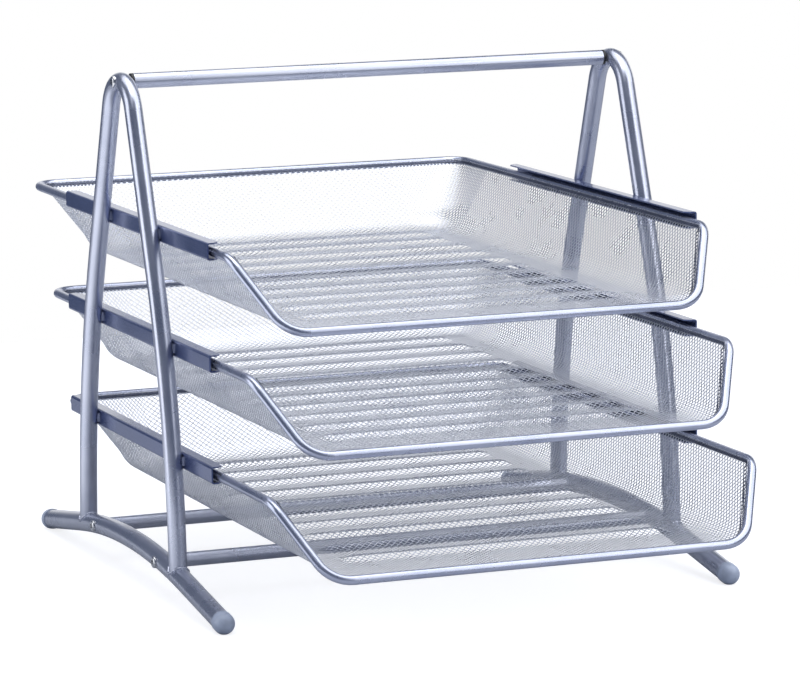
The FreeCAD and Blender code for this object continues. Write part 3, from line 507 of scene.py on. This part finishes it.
@dataclass
class Studio:
    """The camera at the photograph's viewpoint, a plain pale floor, soft lamps and the room."""

    camera_mm: tuple[float, float, float] = (-885.9, -2282.15, 516.3)
    azimuth_deg: float = -21.403
    elevation_deg: float = 9.02
    roll_deg: float = -0.74
    lens_mm: float = 198.0
    sensor_mm: float = 36.0
    clip_end_m: float = 60
    floor_m: tuple[float, float] = (2.6, 1.7)
    paper: str = "A3A6AF"
    paper_lift: float = 0.78
    # where the floor glows white in gloss: a painted pool of light
    painted_glow_pool_edges: tuple[tuple[str, float, float], ...] = (("X", -0.22, -0.4), ("Y", 0.4, 0.2))
    room: str = "565F74"
    soft_room: str = "B4B8BE"
    backdrop_edges: tuple[tuple[str, float, float], ...] = (
        ("Y", 0.3, 0.6), ("X", -0.15, 0.25), ("Z", -0.03, 0.01), ("Z", 0.42, 0.3))
    lamps: tuple[Softbox, ...] = (
        Softbox("overhead_lamp", (0.75, -0.4, 1.75), 2.0, 3.2, 1.65),
        Softbox("top_lamp", (-0.1, 0.35, 1.8), 1.3, 1.8, 1.5),
        Softbox("right_front_lamp", (0.85, -1.8, 0.85), 0.7, 1.6, 1.6),
        Softbox("left_lamp", (-1.38, 0.3, 0.4), 0.9, 1.2, 1.7),
        Softbox("left_top_lamp", (-0.5, -0.65, 1.6), 0.7, 1.2, 0.6),
    )

    def build(self) -> None:
        """Build everything of the studio."""
        self.place_camera()
        self.lay_floor()
        for lamp in self.lamps:
            lamp.hang()
        self.light_room()

    def place_camera(self) -> None:
        """Add the camera and make it the scene's."""
        start_clean()
        bpy.ops.object.camera_add(location=Vector(self.camera_mm) * MM)
        camera = bpy.context.object
        camera.name = "studio_camera"
        around, above = math.radians(self.azimuth_deg), math.radians(self.elevation_deg)
        back = Vector((math.sin(around) * math.cos(above), -math.cos(around) * math.cos(above),
                       math.sin(above)))
        aim = (-back).to_track_quat("-Z", "Y")
        camera.rotation_mode = "QUATERNION"
        camera.rotation_quaternion = aim @ Quaternion((0, 0, 1), math.radians(self.roll_deg))
        camera.data.lens = self.lens_mm
        camera.data.sensor_width = self.sensor_mm
        camera.data.clip_end = self.clip_end_m
        bpy.context.scene.camera = camera

    def lay_floor(self) -> None:
        """Add the plain white sheet that the stand stands on."""
        start_clean()
        bpy.ops.mesh.primitive_plane_add(size=1, location=(0, 0, 0))
        floor = bpy.context.object
        floor.name = "studio_floor"
        floor.scale = (*self.floor_m, 1)
        settle(floor)
        made, tree = start_material("white_paper_floor")
        rays = add_node(tree, "ShaderNodeLightPath")
        seen = add_node(tree, "ShaderNodeMath", {"operation": "MAXIMUM"}, {
            0: rays.outputs["Is Camera Ray"], 1: rays.outputs["Is Transmission Ray"]})
        # in gloss the sheet glows white where the left lamp stands over it, a painted pool of
        # light, and is dim everywhere else
        place = add_node(tree, "ShaderNodeTexCoord")
        axes = add_node(tree, "ShaderNodeSeparateXYZ", inputs={0: place.outputs["Object"]})
        painted_glow_pool = fade_within(tree, rays.outputs["Is Glossy Ray"], axes, self.painted_glow_pool_edges)
        shown = add_node(tree, "ShaderNodeMath", {"operation": "ADD"}, {
            0: painted_glow_pool, 1: seen.outputs[0]})
        lift = add_node(tree, "ShaderNodeMath", {"operation": "MULTIPLY"}, {
            0: shown.outputs[0], 1: self.paper_lift})
        paper = add_node(tree, "ShaderNodeBsdfPrincipled", inputs={
            "Base Color": colour(self.paper), "Roughness": 0.9, "Specular IOR Level": 0.1,
            "Emission Color": colour(WHITE), "Emission Strength": lift.outputs[0]})
        add_node(tree, "ShaderNodeOutputMaterial", inputs={"Surface": paper.outputs["BSDF"]})
        dress(floor, made)

    def light_room(self) -> None:
        """Set the world: white where it is seen; in gloss, a dim room with a low white backdrop."""
        world = bpy.data.worlds.new("studio_room")
        bpy.context.scene.world = world
        world.use_nodes = True
        tree = world.node_tree
        tree.nodes.clear()
        rays = add_node(tree, "ShaderNodeLightPath")
        way = add_node(tree, "ShaderNodeTexCoord")
        axes = add_node(tree, "ShaderNodeSeparateXYZ", inputs={0: way.outputs["Generated"]})
        # the white backdrop stands behind and to the right, from the floor to about 20 degrees up
        backdrop = fade_within(tree, rays.outputs["Is Glossy Ray"], axes, self.backdrop_edges)
        room = add_node(tree, "ShaderNodeMix", {"data_type": "RGBA"}, {
            0: backdrop, 6: colour(self.room), 7: colour(WHITE)})
        soft = add_node(tree, "ShaderNodeMix", {"data_type": "RGBA"}, {
            0: rays.outputs["Is Glossy Ray"], 6: colour(self.soft_room), 7: room.outputs[2]})
        seen = add_node(tree, "ShaderNodeMath", {"operation": "MAXIMUM"}, {
            0: rays.outputs["Is Camera Ray"], 1: rays.outputs["Is Transmission Ray"]})
        shown = add_node(tree, "ShaderNodeMix", {"data_type": "RGBA"}, {
            0: seen.outputs[0], 6: soft.outputs[2], 7: colour(WHITE)})
        glow = add_node(tree, "ShaderNodeBackground", inputs={
            "Color": shown.outputs[2], "Strength": 1.0})
        add_node(tree, "ShaderNodeOutputWorld", inputs={"Surface": glow.outputs["Background"]})
        bpy.context.scene.view_settings.view_transform = "Standard"


# The trays


# The drawn wall's levels: the floor's margin ends at 0.2, the wall stands from 0.45 to 1
MARGIN_LEVEL = 0.2
EDGE_LEVELS = 0.25
WALL_LEVEL = 0.45
WALL_LEVELS = 0.55


@dataclass
class DrawnSection:
    """A section through the tub's wall: a flat margin of floor, a round edge and a leaning wall."""

    core: float
    margin: float
    edge_radius: float
    lean: float
    floor: float
    top: float

    def __post_init__(self) -> None:
        """Work out where the round edge and the wall begin."""
        self.slope = math.atan(self.lean)
        self.turn = math.pi / 2 - self.slope
        self.setback = self.edge_radius * math.tan(self.turn / 2)
        self.arc = self.edge_radius * self.turn
        self.rise = self.setback * math.cos(self.slope)
        self.wall = (self.top - self.floor - self.rise) / math.cos(self.slope)
        self.length = self.margin + self.arc + self.wall

    def level(self, distance: float) -> float:
        """Turn a distance along the section into a level from 0 to 1.

        Args:
            distance: Along the section, from the floor's core.

        Returns:
            The level.
        """
        if distance <= self.margin:
            return MARGIN_LEVEL * distance / self.margin
        if distance <= self.margin + self.arc:
            return MARGIN_LEVEL + EDGE_LEVELS * (distance - self.margin) / self.arc
        return WALL_LEVEL + WALL_LEVELS * (distance - self.margin - self.arc) / self.wall

    def distance(self, level: float) -> float:
        """Turn a level back into a distance along the section.

        Args:
            level: From 0 to 1.

        Returns:
            The distance from the floor's core.
        """
        if level <= MARGIN_LEVEL:
            return self.margin * level / MARGIN_LEVEL
        if level <= WALL_LEVEL:
            return self.margin + self.arc * (level - MARGIN_LEVEL) / EDGE_LEVELS
        return self.margin + self.arc + self.wall * (level - WALL_LEVEL) / WALL_LEVELS

    def place(self, distance: float) -> tuple[float, float]:
        """Find the point at a distance along the section.

        Args:
            distance: Along the section, from the floor's core.

        Returns:
            How far out it lies from the tray's middle, and its height.
        """
        if distance <= self.margin:
            return self.core + distance, self.floor
        start = self.core + self.margin
        along = distance - self.margin
        if along <= self.arc:
            angle = along / self.edge_radius
            return (start + self.edge_radius * math.sin(angle),
                    self.floor + self.edge_radius * (1 - math.cos(angle)))
        foot = start + self.setback + self.setback * math.sin(self.slope)
        up = along - self.arc
        return foot + up * math.sin(self.slope), self.floor + self.rise + up * math.cos(self.slope)


@dataclass
class DrawnTub:
    """The surface of a tray's basket, mapped from the flat sheet that it is drawn from."""

    floor: float = -37.0
    top: float = 1.0
    side_corner: float = 115.2
    side_lean: float = 0.5247
    rear_corner: float = 175.05
    rear_lean: float = 0.7273
    edge_radius: float = 16.5
    margin: float = 12.0
    bottom_radius: float = 29.5
    top_radius: float = 10.8
    shoulder: float = -145.0
    front: float = -178.0
    rib_count: int = 10
    rib_pitch: float = 31.0
    first_rib: float = 149.0
    rib_width: float = 14.0
    rib_height: float = 2.6
    rib_half_length: float = 93.0
    rib_skirt: float = 1.25
    rib_end_start: float = 8.0
    rib_end_length: float = 9.0

    def __post_init__(self) -> None:
        """Set up the side and rear sections."""
        self.side = self.section(self.side_corner, self.side_lean)
        self.rear = self.section(self.rear_corner, self.rear_lean)

    def section(self, corner: float, lean: float) -> DrawnSection:
        """Make the section whose sharp floor corner and lean are given.

        Args:
            corner: Where the floor and the wall would meet without the round edge.
            lean: How far the wall leans out for each millimetre up.

        Returns:
            The section.
        """
        setback = self.edge_radius * math.tan((math.pi / 2 - math.atan(lean)) / 2)
        return DrawnSection(corner - setback - self.margin, self.margin, self.edge_radius, lean,
                            self.floor, self.top)

    def rib(self, x: float, y: float) -> float:
        """Find how high a pressed rib stands over the floor.

        Args:
            x: Across the tray.
            y: Along the tray.

        Returns:
            The height over the floor.
        """
        steps = (self.first_rib - y) / self.rib_pitch
        nearest = min(max(round(steps), 0), self.rib_count - 1)
        across = (steps - nearest) * self.rib_pitch / (self.rib_width / 2)
        if abs(across) >= self.rib_skirt:
            return 0.0
        bulge = 0.5 * (1 + math.cos(math.pi * min(abs(across) / self.rib_skirt, 1.0)))
        past = (abs(x) - (self.rib_half_length - self.rib_end_start)) / self.rib_end_length
        fade = 1.0 if past <= 0 else max(0.0, 1 - past * past)
        return self.rib_height * bulge * fade

    def point(self, u: float, v: float, inset: float = 0.0) -> Vector:
        """Map a point of the flat sheet onto the drawn tub.

        Args:
            u: Across the sheet, from its middle.
            v: Along the sheet, towards the rear.
            inset: How far inside the surface the point lies.

        Returns:
            The point in the tray's own frame.
        """
        sign = -1.0 if u < 0 else 1.0
        out = max(abs(u) - self.side.core, 0.0)
        back = max(v - self.rear.core, 0.0)
        if out == 0.0 and back == 0.0:
            return Vector((u, v, self.floor + self.rib(u, v) + inset))
        side_level = self.side.level(min(out, self.side.length))
        rear_level = self.rear.level(min(back, self.rear.length))
        level = max(side_level, rear_level)
        reach, side_height = self.side.place(self.side.distance(level))
        depth, rear_height = self.rear.place(self.rear.distance(level))
        reach -= inset * min(level / WALL_LEVEL, 1.0)
        depth -= inset * min(level / WALL_LEVEL, 1.0)
        blend = (level - WALL_LEVEL) / WALL_LEVELS if level > WALL_LEVEL else 0.0
        radius = self.bottom_radius + (self.top_radius - self.bottom_radius) * blend
        radius = min(radius, reach - self.side.core, depth - self.rear.core)
        lift = inset * max(0.0, 1 - level / WALL_LEVEL)
        if side_level >= rear_level:
            if back == 0.0:
                return Vector((sign * reach, v, side_height + lift))
            straight = depth - radius - self.rear.core
            share = back / self.rear.distance(level)
            along = share * (straight + radius * math.pi / 4)
            height = side_height + (rear_height - side_height) * share / 2 + lift
            if along <= straight:
                return Vector((sign * reach, self.rear.core + along, height))
            angle = (along - straight) / radius
        else:
            if out == 0.0:
                return Vector((u, depth, rear_height + lift))
            straight = reach - radius - self.side.core
            share = out / self.side.distance(level)
            along = share * (straight + radius * math.pi / 4)
            height = rear_height + (side_height - rear_height) * share / 2 + lift
            if along <= straight:
                return Vector((sign * (self.side.core + along), depth, height))
            angle = math.pi / 2 - (along - straight) / radius
        return Vector((sign * (reach - radius + radius * math.cos(angle)),
                       depth - radius + radius * math.sin(angle), height))


@dataclass
class Tray:
    """A tray: the CAD rim wire and a basket of expanded mesh whose edge is folded inside it."""

    tier: Tier
    tub: DrawnTub
    cell_across: float = 3.6
    cell_along: float = 3.3
    strand_width: float = 0.46
    strand_thickness: float = 0.22
    hem_width: float = 2.0
    hem_inset: float = 0.7
    hem_clearance: float = 0.4
    front_allowance: float = 10.0
    origin_to_rear_m: float = 0.2075
    wire_radius_m: float = 0.0025

    @property
    def body(self) -> str:
        """The CAD body that the tray is."""
        return f"{self.tier.value}_tray"

    @property
    def origin(self) -> Vector:
        """The tray's own origin in the row frame, in millimetres, from its CAD rim."""
        low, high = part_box(f"{self.body}_rim")
        return Vector(((low.x + high.x) / 2, high.y - self.origin_to_rear_m,
                       high.z - self.wire_radius_m)) / MM

    def build(self, palette: Palette) -> None:
        """Build and dress the tray.

        Args:
            palette: The object's finishes.
        """
        dress_node(f"{self.body}_rim", palette.rim)
        for piece in self.weave_basket():
            self.attach(piece, palette.mesh, piece.name.endswith("front"))
        # the hem wears the fold finish, whose darker colour is painted shade
        self.attach(self.fold_hem(), palette.fold, False)

    def attach(self, piece: bpy.types.Object, material: bpy.types.Material,
               stands_in: bool) -> None:
        """Finish one piece of the basket.

        Args:
            piece: The piece.
            material: Its material.
            stands_in: Whether it stands for the CAD basket.
        """
        node = f"{self.body}_basket"
        # the paint rounds every strand over, so it is shaded without an arris
        finish_piece(piece, material, self.body, (node,) if stands_in else (),
                     smooth_deg=180.0)

    def net(self, name: str, low_u: float, high_u: float, low_v: float,
            high_v: float) -> bpy.types.Object:
        """Make a flat net of diamonds over part of the sheet.

        Args:
            name: The new piece's name.
            low_u: Where it starts across the sheet.
            high_u: Where it ends across the sheet.
            low_v: Where it starts along the sheet.
            high_v: Where it ends along the sheet.

        Returns:
            The flat piece, in millimetres.
        """
        start_clean()
        across = max(2, round((high_u - low_u) / self.cell_across))
        along = max(2, round((high_v - low_v) / self.cell_along))
        bpy.ops.mesh.primitive_grid_add(x_subdivisions=across, y_subdivisions=along, size=1)
        piece = bpy.context.object
        piece.name = name
        piece.scale = (high_u - low_u, high_v - low_v, 1)
        piece.location = ((low_u + high_u) / 2, (low_v + high_v) / 2, 0)
        settle(piece)
        bpy.ops.object.mode_set(mode="EDIT")
        bpy.ops.mesh.select_mode(type="EDGE")
        bpy.ops.mesh.select_all(action="SELECT")
        bpy.ops.mesh.mark_seam()
        bpy.ops.mesh.poke()
        select_edges(piece, lambda edge: edge.seam and not edge.is_boundary)
        bpy.ops.mesh.dissolve_edges(use_verts=False)
        bpy.ops.mesh.select_all(action="SELECT")
        bpy.ops.mesh.mark_seam(clear=True)
        bpy.ops.object.mode_set(mode="OBJECT")
        return piece

    def form(self, piece: bpy.types.Object, inset: float = 0.0, keep: float = 0.0) -> None:
        """Draw a flat net onto the tub, trim it to the slope and put it in its place.

        Args:
            piece: The flat piece.
            inset: How far inside the tub's surface it lies.
            keep: How wide a strip is kept below the slope; 0 keeps all.
        """
        for vertex in piece.data.vertices:
            vertex.co = self.tub.point(vertex.co.x, vertex.co.y, inset)
        take(piece)
        bpy.ops.object.mode_set(mode="EDIT")
        bpy.ops.mesh.select_all(action="SELECT")
        slope = Vector((0, self.tub.floor, self.tub.shoulder - self.tub.front)).normalized()
        edge = Vector((0, self.tub.shoulder, 0))
        bpy.ops.mesh.bisect(plane_co=edge, plane_no=slope, clear_outer=True)
        if keep:
            bpy.ops.mesh.select_all(action="SELECT")
            bpy.ops.mesh.bisect(plane_co=edge - slope * keep, plane_no=slope, clear_inner=True)
        bpy.ops.object.mode_set(mode="OBJECT")
        piece.scale = (MM, MM, MM)
        piece.location = self.origin * MM
        settle(piece)

    def strands(self, piece: bpy.types.Object) -> None:
        """Open every diamond of a net and give the strands between them their thickness.

        Args:
            piece: The net.
        """
        take(piece)
        bpy.ops.object.mode_set(mode="EDIT")
        bpy.ops.mesh.select_mode(type="FACE")
        bpy.ops.mesh.select_all(action="SELECT")
        bpy.ops.mesh.inset(thickness=self.strand_width / 2 * MM, use_individual=True)
        bpy.ops.mesh.delete(type="FACE")
        bpy.ops.mesh.select_all(action="SELECT")
        bpy.ops.mesh.normals_make_consistent(inside=False)
        bpy.ops.object.mode_set(mode="OBJECT")
        apply_modifier(piece, "SOLIDIFY", thickness=self.strand_thickness * MM, offset=0.0)

    def weave_basket(self) -> list[bpy.types.Object]:
        """Make the basket's mesh in three lengths that meet strand to strand.

        Returns:
            The rear, middle and front pieces.
        """
        wide = self.tub.side.core + self.tub.side.length
        rear = self.tub.rear.core + self.tub.rear.length
        front = self.tub.front - self.front_allowance
        whole = self.net(f"{self.body}_mesh_rear", -wide, wide, front, rear)
        cuts = [front + (rear - front) / 3, front + (rear - front) * 2 / 3]
        pieces = [whole]
        for cut, word in ((cuts[0], "front"), (cuts[1], "middle")):
            take(whole)
            bpy.ops.object.mode_set(mode="EDIT")
            select_where(whole, lambda face: face.calc_center_median().y < cut)
            bpy.ops.mesh.separate(type="SELECTED")
            bpy.ops.object.mode_set(mode="OBJECT")
            part = next(o for o in bpy.context.selected_objects if o != whole)
            part.name = f"{self.body}_mesh_{word}"
            pieces.append(part)
        for piece in pieces:
            self.form(piece)
            self.strands(piece)
        return pieces

    def fold_hem(self) -> bpy.types.Object:
        """Make the strip of mesh that is folded over inside the rim, all round.

        Returns:
            The hem.
        """
        wide = self.tub.side.core + self.tub.side.length
        rear = self.tub.rear.core + self.tub.rear.length
        front = self.tub.front - self.front_allowance
        reach, half, near = wide - self.hem_width, self.cell_across / 2, self.tub.shoulder
        gap = self.hem_clearance
        spans = [
            ((-wide + gap, -reach, near, rear - gap), 0.0),
            ((reach, wide - gap, near, rear - gap), 0.0),
            ((-reach, reach, rear - self.hem_width, rear - gap), 0.0),
            ((-wide + half, wide - half, front + half, near), self.hem_width),
        ]
        strips = [self.net(f"{self.body}_hem", *span) for span, _ in spans]
        for strip, (_, keep) in zip(strips, spans):
            self.form(strip, self.hem_inset, keep)
            self.strands(strip)
        start_clean()
        for strip in strips:
            strip.select_set(True)
        bpy.context.view_layer.objects.active = strips[0]
        bpy.ops.object.join()
        strips[0].name = f"{self.body}_hem"
        return strips[0]


# The stand


@dataclass
class CrossHead:
    """A screw's domed head with a cross recess, turned towards the outside of the stand."""

    radius: float = 3.3
    height: float = 1.9
    crown: float = 1.25
    slot_length: float = 3.4
    slot_width: float = 0.85
    slot_depth: float = 1.1
    slot_turns_deg: tuple[float, float] = (35, 125)
    round_vertices: int = 28
    crown_segments: int = 5

    def add(self, name: str, sign: int, outer: float, y: float, z: float) -> bpy.types.Object:
        """Add one head.

        Args:
            name: The new piece's name.
            sign: -1 on the left side, 1 on the right.
            outer: How far from the middle the head's top lies.
            y: Its place along the stand.
            z: Its height.

        Returns:
            The head.
        """
        start_clean()
        quarter = math.radians(90)
        bpy.ops.mesh.primitive_cylinder_add(
            vertices=self.round_vertices, radius=self.radius * MM, depth=self.height * MM,
            rotation=(0, quarter, 0),
            location=(sign * (outer - self.height / 2) * MM, y * MM, z * MM))
        head = bpy.context.object
        head.name = name
        settle(head)
        top = outer * MM
        bpy.ops.object.mode_set(mode="EDIT")
        select_edges(head, lambda edge: all(abs(abs(v.co.x) - top) < 1e-6 for v in edge.verts))
        bpy.ops.mesh.bevel(offset=self.crown * MM, segments=self.crown_segments, affect="EDGES")
        bpy.ops.object.mode_set(mode="OBJECT")
        for turn in (math.radians(degrees) for degrees in self.slot_turns_deg):
            start_clean()
            bpy.ops.mesh.primitive_cube_add(size=1, location=(sign * top, y * MM, z * MM))
            slot = bpy.context.object
            slot.scale = (2 * self.slot_depth * MM, self.slot_length * MM, self.slot_width * MM)
            slot.rotation_euler = (turn, 0, 0)
            settle(slot)
            apply_modifier(head, "BOOLEAN", operation="DIFFERENCE", object=slot, solver="EXACT")
            bpy.data.objects.remove(slot)
        return head


@dataclass
class SaddleWeld:
    """The rippled bead round the foot of a leg, where it sits on the foot tube."""

    leg_radius: float = 5.0
    foot_radius: float = 5.5
    bead_radius: float = 0.95
    standoff: float = 0.3
    ripples: int = 22
    ripple_height: float = 0.13
    ring_segments: int = 88
    bead_segments: int = 10

    def add(self, name: str, x: float, y: float, z: float, slope: float) -> bpy.types.Object:
        """Add one bead.

        Args:
            name: The new piece's name.
            x: Place of the leg's centre line across the stand.
            y: Place of the leg's centre line along the stand.
            z: Height of the foot tube's centre line there.
            slope: Rise of the foot tube for each millimetre towards the rear.

        Returns:
            The bead.
        """
        start_clean()
        bpy.ops.mesh.primitive_torus_add(
            major_radius=self.leg_radius + self.standoff, minor_radius=self.bead_radius,
            major_segments=self.ring_segments, minor_segments=self.bead_segments)
        bead = bpy.context.object
        bead.name = name
        for vertex in bead.data.vertices:
            flat = Vector((vertex.co.x, vertex.co.y, 0))
            around = math.atan2(flat.y, flat.x)
            line = flat.normalized() * (self.leg_radius + self.standoff)
            swell = 1 + self.ripple_height * math.sin(self.ripples * around)
            out = (vertex.co - line) * swell
            seat = math.sqrt(max(self.foot_radius ** 2 - line.x ** 2, 0.0))
            vertex.co = (line + out + Vector((x, y, z + seat + slope * line.y))) * MM
        return bead


@dataclass
class Stand:
    """The A-frame: CAD tubes, bars and rails, with modelled screw heads and weld beads."""

    side_plane: float = 147.3
    middle: float = 16.15
    handle_height: float = 278.5
    leg_reach: float = 80.2
    bar_reach: float = 55.2
    foot_crown: float = 22.52
    foot_arch: float = 600.0
    handle_seat: float = 153.4
    foot_seat: float = 153.9

    def foot_height(self, reach: float) -> float:
        """Find the height of a foot tube's centre line at a distance from the stand's middle."""
        return self.foot_crown - self.foot_arch + math.sqrt(self.foot_arch ** 2 - reach ** 2)

    def build(self, palette: Palette) -> None:
        """Build and dress the stand.

        Args:
            palette: The object's finishes.
        """
        for side in Side:
            dress_node(f"{side.word}_side_frame", palette.tube)
            dress_node(f"{side.word}_foot_tube", palette.tube)
            dress_node(f"{side.word}_rail_welds", palette.tube)
            dress_node(f"{side.word}_handle_plug", palette.black)
            for tier in Tier:
                # the channels' darker blue-grey finish is painted shade
                dress_node(f"{side.word}_{tier.value}_rail", palette.rail)
            for end in End:
                dress_node(f"{end.word}_{side.word}_foot_cap", palette.grey)
                dress_node(f"{end.word}_{side.word}_cross_bar_plug", palette.grey)
                self.weld_leg(side, end, palette.tube)
        for node in ("handle_bar", "front_cross_bar", "rear_cross_bar"):
            dress_node(node, palette.tube)
        self.drive_screws(palette.zinc)

    def weld_leg(self, side: Side, end: End, material: bpy.types.Material) -> None:
        """Add the bead between a leg and its foot tube.

        Args:
            side: Which side frame.
            end: Which leg.
            material: Its material.
        """
        slope = -end.value * self.leg_reach / self.foot_arch
        bead = SaddleWeld().add(
            f"{end.word}_{side.word}_leg_weld", side.value * self.side_plane,
            self.middle + end.value * self.leg_reach, self.foot_height(self.leg_reach), slope)
        finish_piece(bead, material, "stand", smooth_deg=80.0)

    def drive_screws(self, material: bpy.types.Material) -> None:
        """Add the heads of the handle's and the cross bars' screws.

        Args:
            material: Their material.
        """
        head, foot = CrossHead(), self.foot_height(self.bar_reach)
        for side in Side:
            word, sign = side.word, side.value
            heads = [head.add(f"{word}_handle_screw_head", sign, self.handle_seat, self.middle,
                              self.handle_height)]
            heads += [head.add(f"{end.word}_{word}_foot_screw_head", sign, self.foot_seat,
                               self.middle + end.value * self.bar_reach, foot) for end in End]
            for piece, node in zip(heads, ("handle_screws", "foot_screws", "foot_screws")):
                finish_piece(piece, material, "stand", (node,), smooth_deg=40.0)


def main() -> None:
    """Build the studio, the stand and the trays, and report each piece."""
    logging.basicConfig(level=logging.INFO, format="%(name)s %(message)s")
    palette = Palette.build()
    Studio().build()
    Stand().build(palette)
    for tier in Tier:
        Tray(tier, DrawnTub()).build(palette)
    start_clean()


if __name__ == "__main__":
    main()
